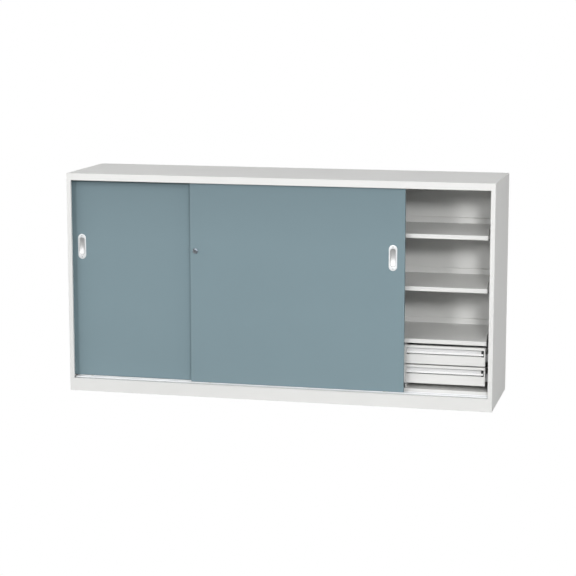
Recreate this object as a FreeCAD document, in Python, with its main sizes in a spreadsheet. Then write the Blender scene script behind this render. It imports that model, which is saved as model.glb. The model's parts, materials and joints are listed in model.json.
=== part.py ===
import FreeCAD, Part
import Sketcher
import os
from math import pi
from types import SimpleNamespace
from FreeCAD import Placement, Rotation, Vector

# A free-standing steel cabinet with two sliding doors, shelves in two bays and two inner drawers.
# Millimetres. The origin is the middle of the footprint on the floor: +X runs to the right along the
# width, the front faces -Y, and +Z is up.

# ---------------------------------------------------------------------------------------------
# Driving sizes. Each one goes to a cell of the sheet under its own alias.
# ---------------------------------------------------------------------------------------------

SIZES = [
    # the cabinet as a whole
    ("cabinet_width", 2000, "outside, left to right"),
    ("cabinet_depth", 500, "outside, front to back"),
    ("cabinet_height", 1030, "floor to the top face"),
    # the carcass
    ("carcass_sheet", 1.5, "thickness of sides, top, floor and plinths"),
    ("fold_radius", 1.2, "outside radius of a visible fold"),
    ("stile_width", 20, "front flange of a side panel"),
    ("stile_return", 12, "how far the flange's lip turns back"),
    ("rear_flange", 18, "rear flange of a side panel and of the top"),
    ("rail_height", 32, "front flange of the top panel"),
    ("rail_return", 11, "how far that flange's lip turns back"),
    ("plinth_height", 59, "floor to the sill"),
    ("plinth_flange", 25, "flanges of the plinths inside the base"),
    ("floor_height", 77, "floor to the cabinet's inner floor"),
    ("door_bay_depth", 65, "front face to the fronts of shelves and floor"),
    ("rear_recess", 6, "rear face to the inner face of the rear panels"),
    ("rear_sheet", 1, "thickness of the rear panels"),
    ("rear_fold", 3.5, "depth of the rear panels' edge fold"),
    ("partition_width", 25, "thickness of the hollow centre partition"),
    ("partition_sheet", 1, "its wall"),
    ("fit_gap", 0.3, "gap between parts that only stand beside each other"),
    # slotted uprights and shelf clips
    ("upright_depth", 28.5, "how far an upright stands off its wall"),
    ("upright_width", 30, "its face, front to back"),
    ("upright_sheet", 1.2, "its wall"),
    ("upright_inset", 8, "from the shelf fronts back to the front uprights"),
    ("rear_upright_inset", 30, "from the rear panels forward to the rear uprights"),
    ("slot_pitch", 40, "spacing of the slots, up an upright"),
    ("slot_height", 14, "one slot, up and down"),
    ("slot_width", 6, "one slot, front to back"),
    ("clip_width", 16, "a shelf clip, front to back"),
    ("clip_sheet", 1.6, "its thickness"),
    ("clip_reach", 20, "its ledge, out from the upright"),
    ("clip_drop", 18, "its back, below the ledge"),
    # shelves
    ("shelf_sheet", 1, "thickness of a shelf"),
    ("shelf_edge", 19.5, "height of its folded front edge"),
    ("shelf_edge_depth", 14, "depth of that edge"),
    ("shelf_upstand", 28, "height of its turned-up rear and ends"),
    ("shelf_end_gap", 8.6, "from an upright's face to a shelf's end"),
    ("low_shelf_top", 308, "floor to the top of the lowest shelf"),
    ("shelf_pitch", 240, "spacing of the shelves"),
    # sliding doors
    ("door_overlap", 35, "how far the doors cover each other when both are shut"),
    ("door_thickness", 16, "one door"),
    ("door_sheet", 1, "its sheet"),
    ("door_lip", 12, "the lip folded in round a door's back"),
    ("door_setback", 16, "front face to the front door's face"),
    ("track_pitch", 30, "from one door's track to the other's"),
    ("door_lift", 2.5, "gap between the rail and a door's lower edge"),
    ("door_top_gap", 26, "top face of the cabinet down to a door's upper edge"),
    ("door_end_gap", 14.5, "side face to a door's edge, at the end of its travel"),
    ("left_door_end_gap", 3.5, "the same at the left end of the left door, which reaches further"),
    ("right_door_opening", 390.5, "how far the right door stands open, in the rest pose"),
    ("buffer_gap", 0.5, "between a door's edge and its buffer, at the end of its travel"),
    ("stiffener_width", 60, "a door's hat-shaped stiffener"),
    ("stiffener_depth", 11, "a door's hat-shaped stiffener"),
    ("stiffener_brim", 14, "a door's hat-shaped stiffener, each brim"),
    # tracks, rollers and glides
    ("track_base", 1, "thickness of the lower track's strip"),
    ("track_margin", 6, "strip beyond its rails, front and back"),
    ("track_edge_gap", 0.6, "undercut along the strip's edges"),
    ("track_edge_depth", 2.5, "undercut along the strip's edges, front to back"),
    ("rail_rise", 5, "height of the lower track's rails"),
    ("rail_thickness", 3, "thickness of a rail"),
    ("roller_radius", 11, "tread of a roller"),
    ("roller_flange", 2, "flange beyond the tread"),
    ("roller_width", 8, "one roller"),
    ("roller_groove", 4, "width of the tread between its flanges"),
    ("roller_inset", 90, "door edge to a roller's axle"),
    ("roller_well_gap", 1, "round a roller in the door's lower edge"),
    ("axle_radius", 2.5, "roller axle"),
    ("axle_clearance", 0.05, "round the axle"),
    ("carrier_width", 34, "bracket that holds a roller"),
    ("carrier_height", 30, "bracket that holds a roller"),
    ("carrier_sheet", 1.2, "its thickness"),
    ("guide_sheet", 1.2, "thickness of the upper guide"),
    ("guide_channel", 8, "clear width of a guide channel"),
    ("guide_depth", 18.5, "depth of the upper guide's fins"),
    ("glide_width", 7, "a door's upper glide"),
    ("glide_length", 44, "a door's upper glide"),
    ("glide_rise", 13, "a door's upper glide"),
    ("glide_foot", 12, "its foot, front to back"),
    ("glide_foot_rise", 1.5, "its foot"),
    ("buffer_radius", 7, "rubber door buffer"),
    ("buffer_height", 540, "floor to the buffers"),
    # flush pulls
    ("pull_height", 682, "floor to the middle of a pull"),
    ("left_pull_inset", 51.3, "door edge to the left pull's centre line"),
    ("right_pull_inset", 53.7, "door edge to the right pull's centre line"),
    ("pull_length", 118, "rim of a pull, up and down"),
    ("pull_width", 38.5, "rim of a pull"),
    ("pull_rim", 1.4, "thickness of the rim"),
    ("pull_rim_round", 0.8, "round of the rim's edges"),
    ("recess_length", 84, "finger recess, up and down"),
    ("recess_width", 27, "finger recess"),
    ("recess_depth", 11, "finger recess"),
    ("recess_taper", 14, "slope of the recess wall, in degrees"),
    ("recess_floor_round", 3, "round between the recess's wall and floor"),
    ("pull_wall", 1.2, "wall of the cup behind the rim"),
    ("pull_screw_spacing", 100, "from one pull screw to the other"),
    ("pull_screw_radius", 1.8, "shank of a pull screw"),
    ("pull_screw_head", 3.2, "its countersunk head's radius"),
    ("pull_screw_length", 9, "pull screw"),
    # lock
    ("lock_inset", 25, "door edge to the lock's centre"),
    ("lock_height", 683.5, "floor to the lock's centre"),
    ("lock_rim_radius", 13.5, "the rim round the lock"),
    ("lock_rim", 2, "thickness of the rim"),
    ("lock_barrel_radius", 10.5, "threaded barrel through the door"),
    ("lock_barrel_length", 19, "barrel behind the door's face"),
    ("lock_nut_radius", 15, "across the corners"),
    ("lock_nut_width", 4, "thickness of the nut"),
    ("lock_travel", 7, "how far the cylinder is pushed in"),
    ("cylinder_radius", 8.4, "push cylinder"),
    ("cylinder_clearance", 0.1, "round the push cylinder and round the core"),
    ("bolt_radius", 4, "bolt behind the cylinder"),
    ("bolt_reach", 1.5, "bolt beyond the barrel, unlocked"),
    ("core_radius", 5, "core that the key turns"),
    ("core_length", 16, "core that the key turns"),
    ("keyway_height", 5.6, "slot for the key"),
    ("keyway_width", 1.4, "slot for the key"),
    ("keyway_depth", 9, "slot for the key"),
    ("strike_width", 16, "strike on the other door"),
    ("strike_height", 26, "strike on the other door"),
    ("strike_rise", 7, "strike on the other door"),
    ("strike_hole", 4.6, "radius of the hole for the bolt"),
    # drawers
    ("drawer_clear", 2, "from the right door's edge, at rest, to the drawer fronts"),
    ("drawer_bottom", 103, "floor to the lower drawer's front"),
    ("drawer_front_height", 84, "one drawer front"),
    ("drawer_pitch", 90.2, "from one drawer to the next"),
    ("drawer_front_depth", 18, "depth of a drawer front"),
    ("drawer_front_setback", 2, "shelf fronts back to the drawer fronts"),
    ("drawer_sheet", 1, "thickness of a drawer's sheet"),
    ("drawer_rear_gap", 9, "drawer boxes and slides to the rear panels"),
    ("drawer_side_height", 64, "drawer box"),
    ("drawer_side_lift", 8, "drawer front's lower edge to the drawer box"),
    ("drawer_rim", 6, "folded rim along a drawer side"),
    ("grip_top", 11.2, "drawer front's upper edge down to the grip"),
    ("grip_slope", 1.2, "slope of the recess's ceiling, up and down"),
    ("grip_recess_height", 14.3, "recess of the grip, at its back"),
    ("grip_nose", 9, "nose of the grip"),
    ("grip_groove", 5.2, "groove under the nose"),
    ("grip_depth", 10, "depth of the recess"),
    ("groove_depth", 15, "depth of the groove"),
    ("grip_reach", 1.5, "how far the nose stands in front of the drawer front"),
    ("nose_round", 1, "round of the nose's edges"),
    ("grip_wall", 1.6, "wall of the grip's profile"),
    ("grip_start", 1.5, "drawer front's left end to the grip"),
    ("grip_margin", 5, "drawer front's right end to the grip's cap"),
    ("cap_length", 12, "black cap at the grip's right end"),
    ("nose_over_cap", 9.5, "how far the nose runs on in front of the cap"),
    ("slide_height", 35, "drawer slide"),
    ("slide_thickness", 12.7, "drawer slide, all three members"),
    ("slide_sheet", 1.2, "drawer slide"),
    ("slide_axis", 37, "drawer front's lower edge up to the slide's middle"),
    ("housing_width", 20, "front flange of the drawers' side wall"),
    ("housing_sheet", 1.2, "the drawers' side wall"),
    # base
    ("foot_radius", 16, "pad of a levelling foot"),
    ("foot_pad", 5, "pad of a levelling foot"),
    ("foot_stem", 5, "radius of a levelling foot's stem"),
    ("foot_stem_length", 42, "levelling foot"),
    ("foot_inset", 34, "side face to a foot's axis"),
    ("foot_inset_depth", 60, "front or rear face to a foot's axis"),
    ("bracket_height", 26, "floor to a foot bracket"),
    ("bracket_sheet", 3, "foot bracket"),
    ("bracket_width", 44, "foot bracket, front to back"),
    ("bracket_leg", 22, "foot bracket's leg up the side panel"),
]

STIFFENERS = 2                                         # behind each door
SAME_PLACE = 1e-4                                      # coordinates closer than this are the same

doc = FreeCAD.newDocument("SlidingDoorCabinet")
sheet = doc.addObject("Spreadsheet::Sheet", "Sizes")


class Dim:
    """A length as a number, with the expression that ties it to the sheet."""

    def __init__(self, number, text):
        self.number = number
        self.text = text

    def __add__(self, other):
        other = dim(other)
        return Dim(self.number + other.number, f"({self.text} + {other.text})")

    def __sub__(self, other):
        other = dim(other)
        return Dim(self.number - other.number, f"({self.text} - {other.text})")

    def __mul__(self, other):
        other = dim(other)
        return Dim(self.number * other.number, f"({self.text} * {other.text})")

    def __truediv__(self, other):
        other = dim(other)
        return Dim(self.number / other.number, f"({self.text} / {other.text})")

    def __radd__(self, other):
        return dim(other) + self

    def __rsub__(self, other):
        return dim(other) - self

    def __rmul__(self, other):
        return dim(other) * self

    def __neg__(self):
        return Dim(-self.number, f"(-1 * {self.text})")


def dim(value):
    """A Dim from a plain number, or the Dim itself."""
    return value if isinstance(value, Dim) else Dim(float(value), f"({value})")


def fill_sheet():
    """Write every size to the sheet, and return them as Dims by name."""
    sizes = SimpleNamespace()
    for row, (alias, number, meaning) in enumerate(SIZES, start=1):
        sheet.set(f"A{row}", meaning)
        sheet.set(f"B{row}", str(number))
        sheet.setAlias(f"B{row}", alias)
        setattr(sizes, alias, Dim(float(number), f"Sizes.{alias}"))
    doc.recompute()
    return sizes


S = fill_sheet()

# ---------------------------------------------------------------------------------------------
# Places worked out from the sizes, used by more than one piece
# ---------------------------------------------------------------------------------------------

FRONT = -S.cabinet_depth / 2
REAR = S.cabinet_depth / 2
SIDE = S.cabinet_width / 2                             # outside of the right side panel
WALL = SIDE - S.carcass_sheet                          # inside of the right side panel
STILE = SIDE - S.stile_width                           # inner edge of the right stile
CEILING = S.cabinet_height - S.carcass_sheet           # underside of the top sheet
INNER_FRONT = FRONT + S.door_bay_depth                 # fronts of floor, shelves and partition
BACK_WALL = REAR - S.rear_recess                       # inner face of the rear panels

FRONT_DOOR_FACE = FRONT + S.door_setback               # the right door runs in the front track
REAR_DOOR_FACE = FRONT_DOOR_FACE + S.track_pitch       # the left door runs behind it
RAIL_TOP = S.plinth_height + S.track_base + S.rail_rise
DOOR_BOTTOM = RAIL_TOP + S.door_lift
DOOR_TOP = S.cabinet_height - S.door_top_gap
LEFT_DOOR = (-SIDE + S.left_door_end_gap, S.door_overlap / 2)       # its span of X, shut
RIGHT_DOOR = (                                         # its span of X in the rest pose, part open
    -S.door_overlap / 2 - S.right_door_opening, SIDE - S.door_end_gap - S.right_door_opening,
)
ROLLER_AXIS = RAIL_TOP + S.fit_gap + S.roller_radius

PARTITION_FACE = S.partition_width / 2
OUTER_UPRIGHT = WALL - S.upright_depth                 # face of the uprights on the side panel
INNER_UPRIGHT = PARTITION_FACE + S.upright_depth       # face of the uprights on the partition
UPRIGHT_FRONT = INNER_FRONT + S.upright_inset
UPRIGHT_REAR = BACK_WALL - S.rear_upright_inset
UPRIGHT_HEAD = CEILING - S.rear_flange
LOWEST_SHELF_UNDERSIDE = S.low_shelf_top - S.shelf_edge

DRAWER_FRONT = INNER_FRONT + S.drawer_front_setback
DRAWER_BOX_FRONT = DRAWER_FRONT + S.drawer_front_depth
DRAWER_LENGTH = BACK_WALL - S.drawer_rear_gap - DRAWER_BOX_FRONT     # of the boxes and the slides
DRAWER_LEFT = RIGHT_DOOR[1] + S.drawer_clear           # left end of the drawer fronts
SLIDE_LEFT = DRAWER_LEFT - S.slide_sheet - S.fit_gap   # back of the left slides
SLIDE_RIGHT = OUTER_UPRIGHT                            # back of the right slides
DRAWER_RIGHT = SLIDE_RIGHT - S.slide_thickness         # right side of box and front
BOX_LEFT = SLIDE_LEFT + S.slide_thickness

# ---------------------------------------------------------------------------------------------
# Building blocks
# ---------------------------------------------------------------------------------------------

NODES = []

ALONG = {
    "X": Rotation(Vector(0, 1, 0), 90),
    "Y": Rotation(Vector(1, 0, 0), -90),
    "Z": Rotation(),
}
PLANES = {"XY": "XY_Plane", "XZ": "XZ_Plane", "YZ": "YZ_Plane"}


def bind(thing, **properties):
    """Tie properties of an object to the sheet."""
    for name, value in properties.items():
        thing.setExpression(name, dim(value).text)


def place(thing, x, y, z):
    """Tie an object's position to the sheet."""
    for axis, value in (("x", x), ("y", y), ("z", z)):
        thing.setExpression(f"Placement.Base.{axis}", dim(value).text)


def node(thing, name):
    """Name a finished sub-part."""
    thing.Label = name
    NODES.append(thing)
    return thing


def mirrored(side, low, high):
    """A span of X on the right (side 1), or its mirror image on the left (side -1)."""
    return (low, high) if side > 0 else (-high, -low)


def centred(middle, width):
    """A span of the given width about a middle."""
    return middle - width / 2, middle + width / 2


def block(x_span, y_span, z_span):
    """A box between two values of X, of Y and of Z."""
    box = doc.addObject("Part::Box", "block")
    bind(box, Length=x_span[1] - x_span[0], Width=y_span[1] - y_span[0], Height=z_span[1] - z_span[0])
    place(box, x_span[0], y_span[0], z_span[0])
    return box


def rod(axis, start, length, radius):
    """A cylinder from a start point along an axis."""
    cylinder = doc.addObject("Part::Cylinder", "rod")
    cylinder.Placement = Placement(Vector(), ALONG[axis])
    bind(cylinder, Radius=radius, Height=length)
    place(cylinder, *start)
    return cylinder


def cone(axis, start, length, radius, end_radius):
    """A cone's frustum from a start point along an axis."""
    frustum = doc.addObject("Part::Cone", "cone")
    frustum.Placement = Placement(Vector(), ALONG[axis])
    bind(frustum, Radius1=radius, Radius2=end_radius, Height=length)
    place(frustum, *start)
    return frustum


def joined(pieces):
    """The union of several shapes. Pieces that don't meet stay separate solids."""
    union = doc.addObject("Part::MultiFuse", "union")
    union.Shapes = pieces
    return union


def without(base, tool):
    """A shape less another."""
    cut = doc.addObject("Part::Cut", "cut")
    cut.Base = base
    cut.Tool = tool
    return cut


def new_body(name):
    """A PartDesign body for a sub-part."""
    body = doc.addObject("PartDesign::Body", name + "_body")
    return node(body, name)


def new_sketch(body, plane, offset):
    """A sketch on one of the body's own origin planes, moved along the plane's normal."""
    sketch = body.newObject("Sketcher::SketchObject", "sketch")
    origin_plane = [p for p in body.Origin.OriginFeatures if p.Role == PLANES[plane]][0]
    sketch.AttachmentSupport = [(origin_plane, "")]
    sketch.MapMode = "FlatFace"
    sketch.setExpression("AttachmentOffset.Base.z", dim(offset).text)
    return sketch


def hold_point(sketch, element, point, u, v):
    """Hold a point of a sketch at coordinates tied to the sheet."""
    for kind, value in (("DistanceX", dim(u)), ("DistanceY", dim(v))):
        index = sketch.addConstraint(Sketcher.Constraint(kind, -1, 1, element, point, value.number))
        sketch.setExpression(f"Constraints[{index}]", value.text)


def draw_polygon(sketch, points):
    """A closed outline through the given points."""
    points = [(dim(u), dim(v)) for u, v in points]
    corners = [Vector(u.number, v.number, 0) for u, v in points]
    count = len(corners)
    lines = []
    for index, corner in enumerate(corners):
        segment = Part.LineSegment(corner, corners[(index + 1) % count])
        lines.append(sketch.addGeometry(segment, False))
    for index, line in enumerate(lines):
        following = lines[(index + 1) % count]
        sketch.addConstraint(Sketcher.Constraint("Coincident", line, 2, following, 1))
    for line, (u, v) in zip(lines, points):
        hold_point(sketch, line, 1, u, v)


def draw_rectangle(sketch, u_span, v_span):
    """A rectangle between two values of u and of v."""
    (left, right), (low, high) = u_span, v_span
    draw_polygon(sketch, [(left, low), (right, low), (right, high), (left, high)])


def draw_circle(sketch, u, v, radius):
    """A circle about a point."""
    u, v, radius = dim(u), dim(v), dim(radius)
    middle = Vector(u.number, v.number, 0)
    circle = sketch.addGeometry(Part.Circle(middle, Vector(0, 0, 1), radius.number), False)
    hold_point(sketch, circle, 3, u, v)
    index = sketch.addConstraint(Sketcher.Constraint("Radius", circle, radius.number))
    sketch.setExpression(f"Constraints[{index}]", radius.text)


def draw_stadium(sketch, u, v, length, width):
    """An upright slot with round ends, about a point."""
    u, radius = dim(u), dim(width) / 2
    low = dim(v) - dim(length) / 2 + radius
    high = dim(v) + dim(length) / 2 - radius
    left, right = u.number - radius.number, u.number + radius.number
    up = Vector(0, 0, 1)
    upper_end = Part.ArcOfCircle(Part.Circle(Vector(u.number, high.number, 0), up, radius.number), 0, pi)
    lower_end = Part.ArcOfCircle(Part.Circle(Vector(u.number, low.number, 0), up, radius.number), pi, 2 * pi)
    left_side = Part.LineSegment(Vector(left, high.number, 0), Vector(left, low.number, 0))
    right_side = Part.LineSegment(Vector(right, low.number, 0), Vector(right, high.number, 0))
    top, falling, bottom, rising = [
        sketch.addGeometry(edge, False) for edge in (upper_end, left_side, lower_end, right_side)
    ]
    for first, second in ((top, falling), (falling, bottom), (bottom, rising), (rising, top)):
        sketch.addConstraint(Sketcher.Constraint("Tangent", first, 2, second, 1))
    sketch.addConstraint(Sketcher.Constraint("Equal", top, bottom))
    sketch.addConstraint(Sketcher.Constraint("Vertical", falling))
    hold_point(sketch, top, 3, u, high)
    index = sketch.addConstraint(Sketcher.Constraint("DistanceY", -1, 1, bottom, 3, low.number))
    sketch.setExpression(f"Constraints[{index}]", low.text)
    index = sketch.addConstraint(Sketcher.Constraint("Radius", top, radius.number))
    sketch.setExpression(f"Constraints[{index}]", radius.text)


def pad(body, sketch, length, backwards=False):
    """Extrude a sketch along its normal, or against it."""
    feature = body.newObject("PartDesign::Pad", "pad")
    feature.Profile = sketch
    feature.Reversed = backwards
    bind(feature, Length=length)
    doc.recompute()
    return feature


def pocket(body, sketch, depth, along_normal=True, taper=None):
    """Cut a sketch out of the body, along its normal or against it."""
    volume = body.Shape.Volume
    feature = body.newObject("PartDesign::Pocket", "pocket")
    feature.Profile = sketch
    feature.Reversed = along_normal
    bind(feature, Length=depth)
    if taper is not None:
        bind(feature, TaperAngle=taper)
    doc.recompute()
    if not body.Shape.Volume < volume:
        raise RuntimeError(f"a pocket of {body.Label} removes nothing")
    return feature


def edges_where(shape, wanted):
    """Names of the edges for which wanted(edge) holds."""
    return [f"Edge{i}" for i, edge in enumerate(shape.Edges, start=1) if wanted(edge)]


def round_edges(body, feature, radius, wanted):
    """Fillet the feature's edges for which wanted(edge) holds."""
    names = edges_where(feature.Shape, wanted)
    if not names:
        raise RuntimeError(f"no edge of {body.Label} to round")
    fillet = body.newObject("PartDesign::Fillet", "fillet")
    fillet.Base = (feature, names)
    bind(fillet, Radius=radius)
    doc.recompute()
    return fillet


def near(value, target):
    """Whether a coordinate is the target's, for picking edges."""
    return abs(value - dim(target).number) < SAME_PLACE


def extruded(name, plane, outline, start, length, backwards=False):
    """A body padded from one closed outline."""
    body = new_body(name)
    sketch = new_sketch(body, plane, start)
    draw_polygon(sketch, outline)
    pad(body, sketch, length, backwards)
    return body


# ---------------------------------------------------------------------------------------------
# Carcass: side panels, top, floor, plinths, rear panels and partition
# ---------------------------------------------------------------------------------------------

def side_panel(name, side):
    """A side folded from one sheet: the stile in front, with its lip, and a flange at the rear."""
    lip = STILE + S.carcass_sheet
    rear_edge = SIDE - S.rear_flange
    outline = [
        (SIDE, FRONT), (SIDE, REAR), (rear_edge, REAR), (rear_edge, REAR - S.carcass_sheet),
        (WALL, REAR - S.carcass_sheet), (WALL, FRONT + S.carcass_sheet), (lip, FRONT + S.carcass_sheet),
        (lip, FRONT + S.stile_return), (STILE, FRONT + S.stile_return), (STILE, FRONT),
    ]
    body = extruded(name, "XY", [(side * x, y) for x, y in outline], 0, CEILING)

    def front_fold(edge):
        middle = edge.CenterOfMass
        return near(abs(middle.x), SIDE) and near(middle.y, FRONT)

    round_edges(body, body.Tip, S.fold_radius, front_fold)


def top_panel():
    """The top sheet with the front rail and its lip, and a flange at the rear."""
    rail_foot = S.cabinet_height - S.rail_height
    sheet_t = S.carcass_sheet
    rail = [
        (FRONT, rail_foot), (FRONT + S.rail_return, rail_foot), (FRONT + S.rail_return, rail_foot + sheet_t),
        (FRONT + sheet_t, rail_foot + sheet_t), (FRONT + sheet_t, CEILING), (REAR - sheet_t, CEILING),
        (REAR - sheet_t, CEILING - S.rear_flange), (REAR, CEILING - S.rear_flange),
        (REAR, S.cabinet_height), (FRONT, S.cabinet_height),
    ]
    body = extruded("top_panel", "YZ", rail, -STILE, 2 * STILE)
    ends = new_sketch(body, "XY", CEILING)
    draw_rectangle(ends, (-SIDE, SIDE), (FRONT, REAR))
    lid = pad(body, ends, sheet_t)

    def front_fold(edge):
        middle = edge.CenterOfMass
        return near(middle.y, FRONT) and near(middle.z, S.cabinet_height)

    round_edges(body, lid, S.fold_radius, front_fold)


def floor_panel():
    """The inner floor, with a lip down to the sill in front and one onto the rear plinth."""
    sheet_t = S.carcass_sheet
    rear = BACK_WALL - S.fit_gap
    underside = S.floor_height - sheet_t
    outline = [
        (INNER_FRONT, S.floor_height), (INNER_FRONT, S.plinth_height - sheet_t),
        (INNER_FRONT + sheet_t, S.plinth_height - sheet_t), (INNER_FRONT + sheet_t, underside),
        (rear - sheet_t, underside), (rear - sheet_t, S.plinth_height), (rear, S.plinth_height),
        (rear, S.floor_height),
    ]
    body = extruded("floor_panel", "YZ", outline, -WALL, 2 * WALL)

    def front_fold(edge):
        middle = edge.CenterOfMass
        return near(middle.y, INNER_FRONT) and near(middle.z, S.floor_height)

    round_edges(body, body.Tip, S.fold_radius, front_fold)


def front_plinth():
    """The plinth between the stiles. Its upper flange is the sill that the lower track lies on."""
    sheet_t = S.carcass_sheet
    inside = FRONT + sheet_t
    outline = [
        (FRONT, 0), (inside + S.plinth_flange, 0), (inside + S.plinth_flange, sheet_t), (inside, sheet_t),
        (inside, S.plinth_height - sheet_t), (INNER_FRONT, S.plinth_height - sheet_t),
        (INNER_FRONT, S.plinth_height), (FRONT, S.plinth_height),
    ]
    extruded("front_plinth", "YZ", outline, -STILE, 2 * STILE)


def rear_plinth():
    """A channel between the rear flanges, under the floor's rear lip and the rear panels."""
    sheet_t = S.carcass_sheet
    edge = SIDE - S.rear_flange
    inside = REAR - sheet_t
    outline = [
        (REAR, 0), (REAR, S.plinth_height), (inside - S.plinth_flange, S.plinth_height),
        (inside - S.plinth_flange, S.plinth_height - sheet_t), (inside, S.plinth_height - sheet_t),
        (inside, sheet_t), (inside - S.plinth_flange, sheet_t), (inside - S.plinth_flange, 0),
    ]
    extruded("rear_plinth", "YZ", outline, -edge, 2 * edge)


def rear_panel(name, side):
    """One of two shallow pans that close the back and meet behind the partition."""
    body = new_body(name)
    depth = S.rear_sheet + S.rear_fold
    x_span = mirrored(side, S.fit_gap / 2, WALL - S.fit_gap)
    z_span = (S.plinth_height, CEILING - S.fit_gap)
    outer = new_sketch(body, "XZ", -BACK_WALL)
    draw_rectangle(outer, x_span, z_span)
    pad(body, outer, depth, backwards=True)
    inner = new_sketch(body, "XZ", -(BACK_WALL + S.rear_sheet))
    inset = S.rear_sheet
    draw_rectangle(inner, (x_span[0] + inset, x_span[1] - inset), (z_span[0] + inset, z_span[1] - inset))
    pocket(body, inner, depth, along_normal=False)


def centre_partition():
    """A hollow wall between the two bays, open at its head and foot."""
    body = new_body("centre_partition")
    outline = new_sketch(body, "XY", S.floor_height)
    y_span = (INNER_FRONT, BACK_WALL - S.fit_gap)
    draw_rectangle(outline, (-PARTITION_FACE, PARTITION_FACE), y_span)
    pad(body, outline, CEILING - S.floor_height)
    hollow = new_sketch(body, "XY", S.floor_height)
    wall = S.partition_sheet
    inner_face = PARTITION_FACE - wall
    draw_rectangle(hollow, (-inner_face, inner_face), (y_span[0] + wall, y_span[1] - wall))
    pocket(body, hollow, CEILING - S.floor_height)


# ---------------------------------------------------------------------------------------------
# Slotted uprights, shelf clips and shelves
# ---------------------------------------------------------------------------------------------

def upright_spots():
    """Wall face, direction into the bay, and front edge of each upright."""
    for wall, towards in ((WALL, -1), (PARTITION_FACE, 1), (-PARTITION_FACE, -1), (-WALL, 1)):
        for front_edge in (UPRIGHT_FRONT, UPRIGHT_REAR - S.upright_width):
            yield wall, towards, front_edge


def ordered(towards, near_wall, far):
    """A span of X that starts at a wall and goes one way or the other."""
    return (near_wall, far) if towards > 0 else (far, near_wall)


def slot_feet():
    """Lower ends of the slots in an upright. The lowest shelf's clips lie level with a slot's top."""
    level_slot = LOWEST_SHELF_UNDERSIDE - S.slot_height
    below = int(((level_slot - S.floor_height) / S.slot_pitch).number)
    above = int(((UPRIGHT_HEAD - LOWEST_SHELF_UNDERSIDE) / S.slot_pitch).number)
    return [level_slot + step * S.slot_pitch for step in range(-below, above + 1)]


def slotted_uprights():
    """Eight channels with a row of slots up their faces, welded to the walls by their edges."""
    channels = []
    z_span = (S.floor_height, UPRIGHT_HEAD)
    sheet_t = S.upright_sheet
    for wall, towards, front_edge in upright_spots():
        face = wall + towards * S.upright_depth
        inner = face - towards * sheet_t
        shell = block(ordered(towards, wall, face), (front_edge, front_edge + S.upright_width), z_span)
        hollow_y = (front_edge + sheet_t, front_edge + S.upright_width - sheet_t)
        hollow = block(ordered(towards, wall, inner), hollow_y, z_span)
        slot_y = centred(front_edge + S.upright_width / 2, S.slot_width)
        slots = [
            block(ordered(towards, inner, face), slot_y, (foot, foot + S.slot_height)) for foot in slot_feet()
        ]
        channels.append(without(shell, joined([hollow] + slots)))
    node(joined(channels), "slotted_uprights")


def shelf_tops():
    """Top faces of the shelves, the highest first."""
    return [S.low_shelf_top + level * S.shelf_pitch for level in (2, 1, 0)]


def shelf_clips():
    """Four clips under each shelf: a ledge, a back against the upright and a tongue in a slot."""
    clips = []
    for wall, towards, front_edge in upright_spots():
        face = wall + towards * S.upright_depth
        middle = front_edge + S.upright_width / 2
        for top in shelf_tops():
            ledge = top - S.shelf_edge
            y_span = centred(middle, S.clip_width)
            x_ledge = ordered(towards, face, face + towards * S.clip_reach)
            x_back = ordered(towards, face, face + towards * S.clip_sheet)
            tongue_x = ordered(towards, face - towards * (S.upright_sheet + S.clip_sheet), face)
            tongue_y = centred(middle, S.slot_width - 2 * S.fit_gap)
            clips += [
                block(x_ledge, y_span, (ledge - S.clip_sheet, ledge)),
                block(x_back, y_span, (ledge - S.clip_drop, ledge)),
                block(tongue_x, tongue_y, (ledge - S.slot_height + S.fit_gap, ledge - S.fit_gap)),
            ]
    node(joined(clips), "shelf_clips")


def shelf(name, side, top):
    """A tray: its front edge is folded down, back and up, its rear and ends are turned up."""
    sheet_t = S.shelf_sheet
    x_span = mirrored(side, INNER_UPRIGHT + S.shelf_end_gap, OUTER_UPRIGHT - S.shelf_end_gap)
    rear = BACK_WALL - S.fit_gap
    foot = top - S.shelf_edge
    edge_rear = INNER_FRONT + S.shelf_edge_depth
    lip_head = top - 2 * sheet_t
    crest = top + S.shelf_upstand
    outline = [
        (INNER_FRONT, top), (INNER_FRONT, foot), (edge_rear, foot), (edge_rear, lip_head),
        (edge_rear - sheet_t, lip_head), (edge_rear - sheet_t, foot + sheet_t),
        (INNER_FRONT + sheet_t, foot + sheet_t), (INNER_FRONT + sheet_t, top - sheet_t),
        (rear, top - sheet_t), (rear, crest), (rear - sheet_t, crest), (rear - sheet_t, top),
    ]
    body = extruded(name, "YZ", outline, x_span[0], x_span[1] - x_span[0])
    for end in ((x_span[0], x_span[0] + sheet_t), (x_span[1] - sheet_t, x_span[1])):
        upstand = new_sketch(body, "XY", top - sheet_t)
        draw_rectangle(upstand, end, (INNER_FRONT, rear))
        tip = pad(body, upstand, S.shelf_upstand + sheet_t)

    def front_fold(edge):
        middle = edge.CenterOfMass
        runs_across = edge.Length > (rear - INNER_FRONT).number
        return runs_across and near(middle.y, INNER_FRONT) and (near(middle.z, top) or near(middle.z, foot))

    round_edges(body, tip, S.fold_radius, front_fold)


# ---------------------------------------------------------------------------------------------
# Tracks, buffers and base
# ---------------------------------------------------------------------------------------------

def track_middles():
    """Middle of the front track and of the rear one."""
    first = FRONT_DOOR_FACE + S.door_thickness / 2
    return first, first + S.track_pitch


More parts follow.
